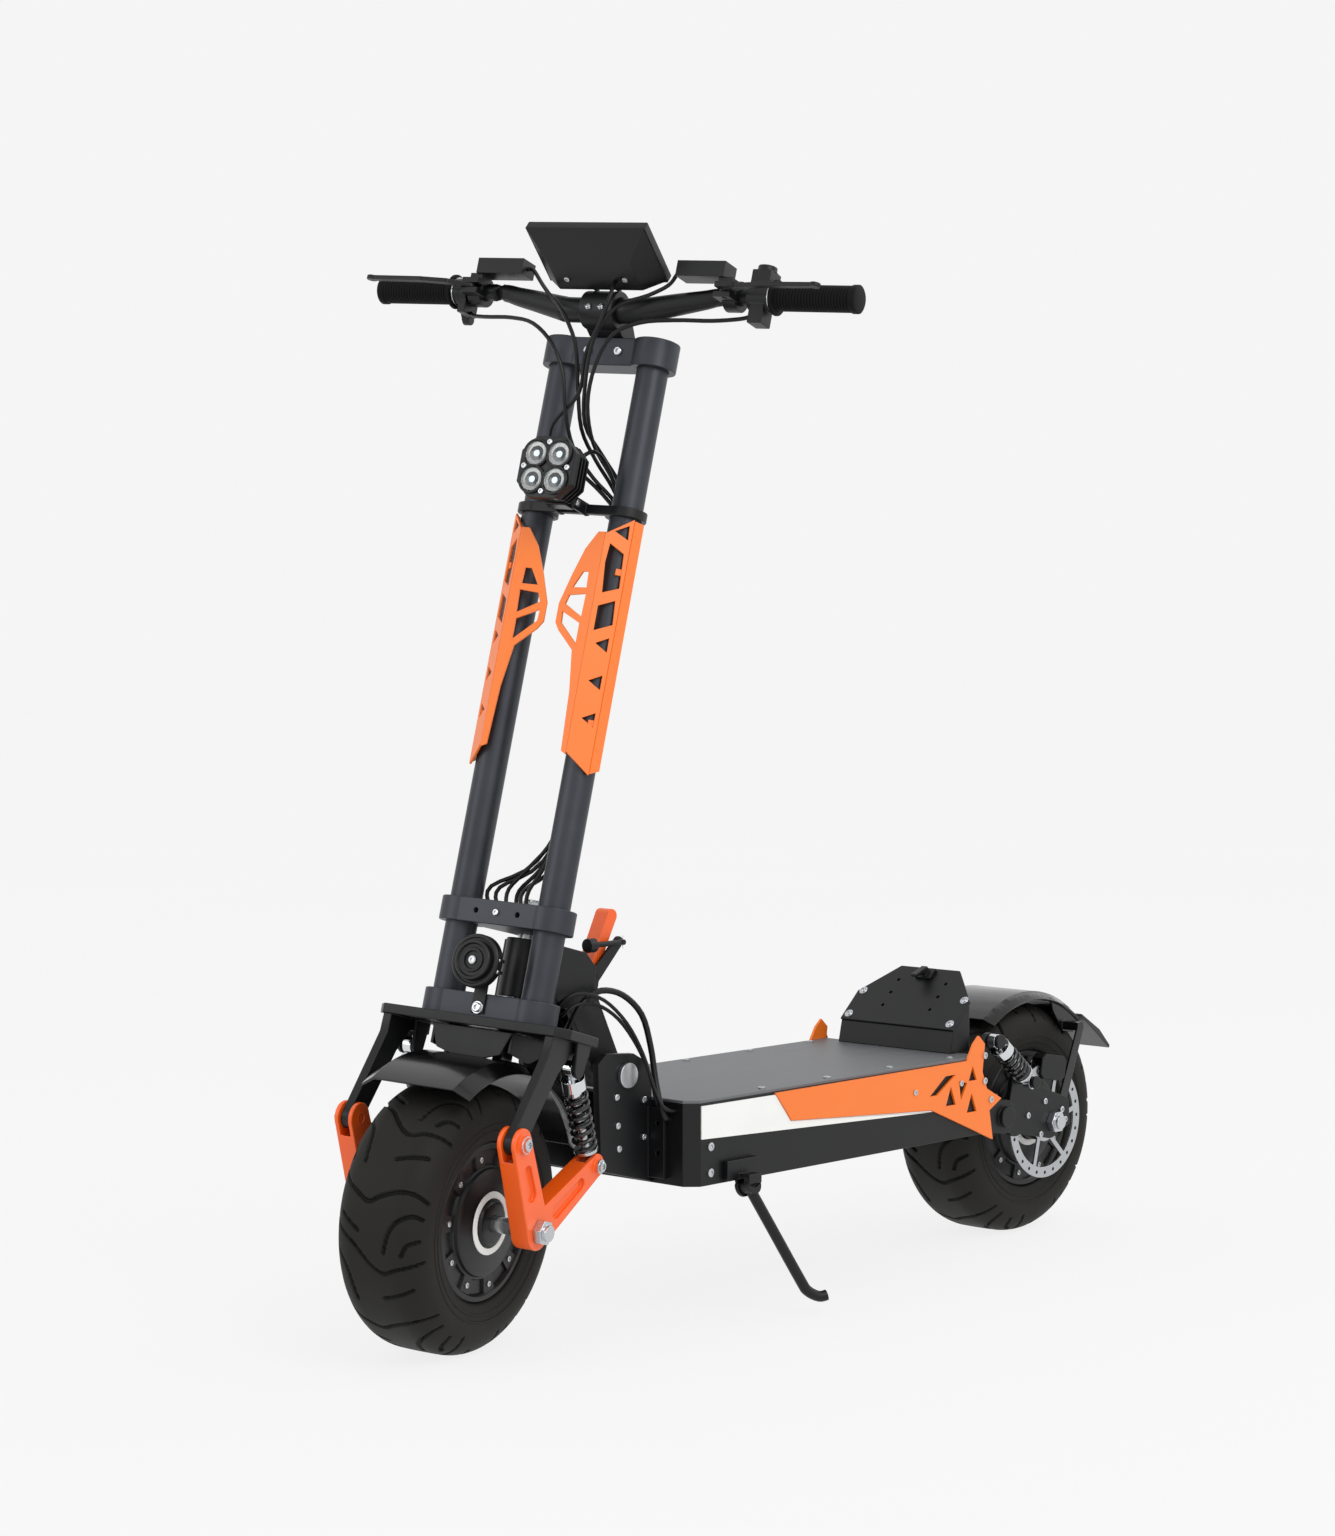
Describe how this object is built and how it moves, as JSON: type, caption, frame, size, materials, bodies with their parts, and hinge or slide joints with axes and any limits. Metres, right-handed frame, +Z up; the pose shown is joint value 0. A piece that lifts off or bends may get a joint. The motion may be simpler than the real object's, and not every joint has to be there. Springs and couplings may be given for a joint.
{
  "type": "electric kick scooter",
  "caption": "Folding electric kick scooter with twin stem tubes, hub motors, disc brakes, front and rear swingarm suspension, wide deck, kickstand and display.",
  "frame": {"origin": "on the ground, at the middle of the scooter's footprint", "axes": "+X is the way the scooter travels, +Y is the rider's left, +Z is up"},
  "size_m": [1.4606, 0.6838, 1.3775],
  "materials": {
    "black_coat": "satin powder coat",
    "grey_anodised": "dark grey anodised",
    "orange_coat": "satin orange powder coat",
    "red_orange_coat": "satin red-orange powder coat",
    "white_strip": "reflective strip",
    "deck_mat": "gritty grey standing mat",
    "steel": "bright steel",
    "chrome": "polished chrome",
    "black_plastic": "moulded black plastic",
    "gloss_black": "glossy black",
    "battery_wrap": "shrink wrap",
    "tyre_rubber": "tyre rubber",
    "grip_rubber": "ribbed grip rubber",
    "motor_cast": "black painted casting",
    "spring_steel": "black coated spring",
    "button_red": "glossy red"
  },
  "bodies": {
    "deck": {"deck_shell": "black_coat", "deck_top": "deck_mat", "battery_and_controller": "battery_wrap", "side_strips": "white_strip", "side_plates": "orange_coat", "rear_box": "black_coat", "rear_box_lid": "black_coat", "stem_catch": "black_coat", "hinge_plates": "black_coat", "fold_bolt": "steel", "kickstand_bracket": "black_coat", "deck_screws": "steel"},
    "kickstand": {"kickstand_leg": "black_coat"},
    "neck": {"neck": "black_coat", "head_bearings": "steel", "latch_bracket": "black_coat", "deck_cables": "black_plastic"},
    "latch": {"latch_lever": "red_orange_coat"},
    "fork": {"steerer": "steel", "stem_tubes": "grey_anodised", "top_yoke": "grey_anodised", "middle_yoke": "grey_anodised", "lower_yoke": "grey_anodised", "front_fork": "black_coat", "front_fender": "gloss_black", "tube_guards": "orange_coat", "horn": "black_plastic", "lamp_bracket": "black_coat", "bar_clamp": "black_coat", "handlebar": "black_coat", "grips": "grip_rubber", "brake_perches": "black_coat", "display": "black_plastic", "throttle_housing": "black_plastic", "switch_pod": "black_plastic", "bar_cables": "black_plastic"},
    "headlight": {"headlight": "black_coat"},
    "brake_left": {"brake_lever_left": "black_coat"},
    "brake_right": {"brake_lever_right": "black_coat"},
    "throttle": {"throttle_paddle": "black_plastic"},
    "horn_button": {"horn_button": "button_red"},
    "front_arm": {"front_arms": "red_orange_coat", "front_axle_shaft": "steel", "front_caliper": "black_coat"},
    "front_wheel": {"front_tyre": "tyre_rubber", "front_hub_motor": "motor_cast", "front_disc": "steel"},
    "front_shock_body": {"front_shock_bodies": "chrome"},
    "front_shock_rod": {"front_shock_rods": "steel", "front_springs": "spring_steel"},
    "rear_arm": {"swingarms": "black_coat", "rear_axle_shaft": "steel", "rear_caliper": "black_coat", "rear_fender": "gloss_black"},
    "rear_wheel": {"rear_tyre": "tyre_rubber", "rear_hub_motor": "motor_cast", "rear_disc": "steel"},
    "rear_shock_body": {"rear_shock_bodies": "chrome"},
    "rear_shock_rod": {"rear_shock_rods": "steel", "rear_springs": "spring_steel"}
  },
  "joints": [
    {"name": "stem_fold", "type": "hinge", "parent": "deck", "child": "neck", "pos_m": [0.308, -0.01626, 0.316], "axis": [0, 1, 0], "range_deg": [-75, 0], "deforming": ["deck_cables"]},
    {"name": "latch_turn", "type": "hinge", "parent": "neck", "child": "latch", "pos_m": [0.30961, -0.01626, 0.43503], "axis": [0, -1, 0], "range_deg": [0, 60]},
    {"name": "steering", "type": "hinge", "parent": "neck", "child": "fork", "pos_m": [0.54, -0.01626, 0.00153], "axis": [-0.2588, 0, 0.9659], "range_deg": [-42.8, 17.2]},
    {"name": "headlight_tilt", "type": "hinge", "parent": "fork", "child": "headlight", "pos_m": [0.37173, 0.00722, 1.0289], "axis": [-0.214, 0.9751, -0.0573], "range_deg": [-8, 12]},
    {"name": "brake_left_pull", "type": "hinge", "parent": "fork", "child": "brake_left", "pos_m": [0.26383, 0.17907, 1.28469], "axis": [-0.2588, 0, 0.9659], "range_deg": [0, 10], "stiffness_Nm_per_rad": 2, "springref_deg": -5.73},
    {"name": "brake_right_pull", "type": "hinge", "parent": "fork", "child": "brake_right", "pos_m": [0.34344, -0.18368, 1.30602], "axis": [0.2588, 0, -0.9659], "range_deg": [0, 10], "stiffness_Nm_per_rad": 2, "springref_deg": -5.73},
    {"name": "throttle_push", "type": "hinge", "parent": "fork", "child": "throttle", "pos_m": [0.32837, -0.23235, 1.30198], "axis": [0.214, -0.9751, 0.0573], "range_deg": [0, 35], "stiffness_Nm_per_rad": 0.3, "springref_deg": -11.46},
    {"name": "horn_press", "type": "slide", "parent": "fork", "child": "horn_button", "axis": [0.9419, 0.2215, 0.2524], "range_m": [0, 0.002], "stiffness_N_per_m": 400, "springref_m": -0.001},
    {"name": "front_arm_swing", "type": "hinge", "parent": "fork", "child": "front_arm", "pos_m": [0.60468, 0.01415, 0.27728], "axis": [-0.214, 0.9751, -0.0573], "range_deg": [0, 10], "stiffness_Nm_per_rad": 400, "springref_deg": -5.73},
    {"name": "front_wheel_spin", "type": "hinge", "parent": "front_arm", "child": "front_wheel", "pos_m": [0.56339, -0.00145, 0.16611], "axis": [-0.214, 0.9751, -0.0573], "continuous": true},
    {"name": "front_shock_tilt", "type": "hinge", "parent": "fork", "child": "front_shock_body", "pos_m": [0.48646, -0.00743, 0.35151], "axis": [-0.214, 0.9751, -0.0573], "range_deg": [0, 9.19]},
    {"name": "front_shock_slide", "type": "slide", "parent": "front_shock_body", "child": "front_shock_rod", "axis": [0.3651, 0.1343, 0.9212], "range_m": [0, 0.02474], "deforming": ["front_springs"]},
    {"name": "rear_arm_swing", "type": "hinge", "parent": "deck", "child": "rear_arm", "pos_m": [-0.416, -0.01626, 0.187], "axis": [0, 1, 0], "range_deg": [0, 10], "stiffness_Nm_per_rad": 500, "springref_deg": -6.88},
    {"name": "rear_wheel_spin", "type": "hinge", "parent": "rear_arm", "child": "rear_wheel", "pos_m": [-0.544, -0.01626, 0.165], "axis": [0, 1, 0], "continuous": true},
    {"name": "rear_shock_tilt", "type": "hinge", "parent": "deck", "child": "rear_shock_body", "pos_m": [-0.381, -0.01626, 0.297], "axis": [0, 1, 0], "range_deg": [0, 0.328]},
    {"name": "rear_shock_slide", "type": "slide", "parent": "rear_shock_body", "child": "rear_shock_rod", "axis": [0.7799, 0, 0.6259], "range_m": [0, 0.01141], "deforming": ["rear_springs"]},
    {"name": "kickstand_fold", "type": "hinge", "parent": "deck", "child": "kickstand", "pos_m": [0.169, 0.13424, 0.169], "axis": [0, 0.9563, 0.2924], "range_deg": [0, 64]}
  ],
  "couplings": [
    {"joint": "front_shock_tilt", "follows": "front_arm_swing", "ratio": 0.90902},
    {"joint": "front_shock_slide", "follows": "front_arm_swing", "m_per_rad": 0.14063},
    {"joint": "rear_shock_tilt", "follows": "rear_arm_swing", "ratio": 0.0228},
    {"joint": "rear_shock_slide", "follows": "rear_arm_swing", "m_per_rad": 0.06423}
  ]
}
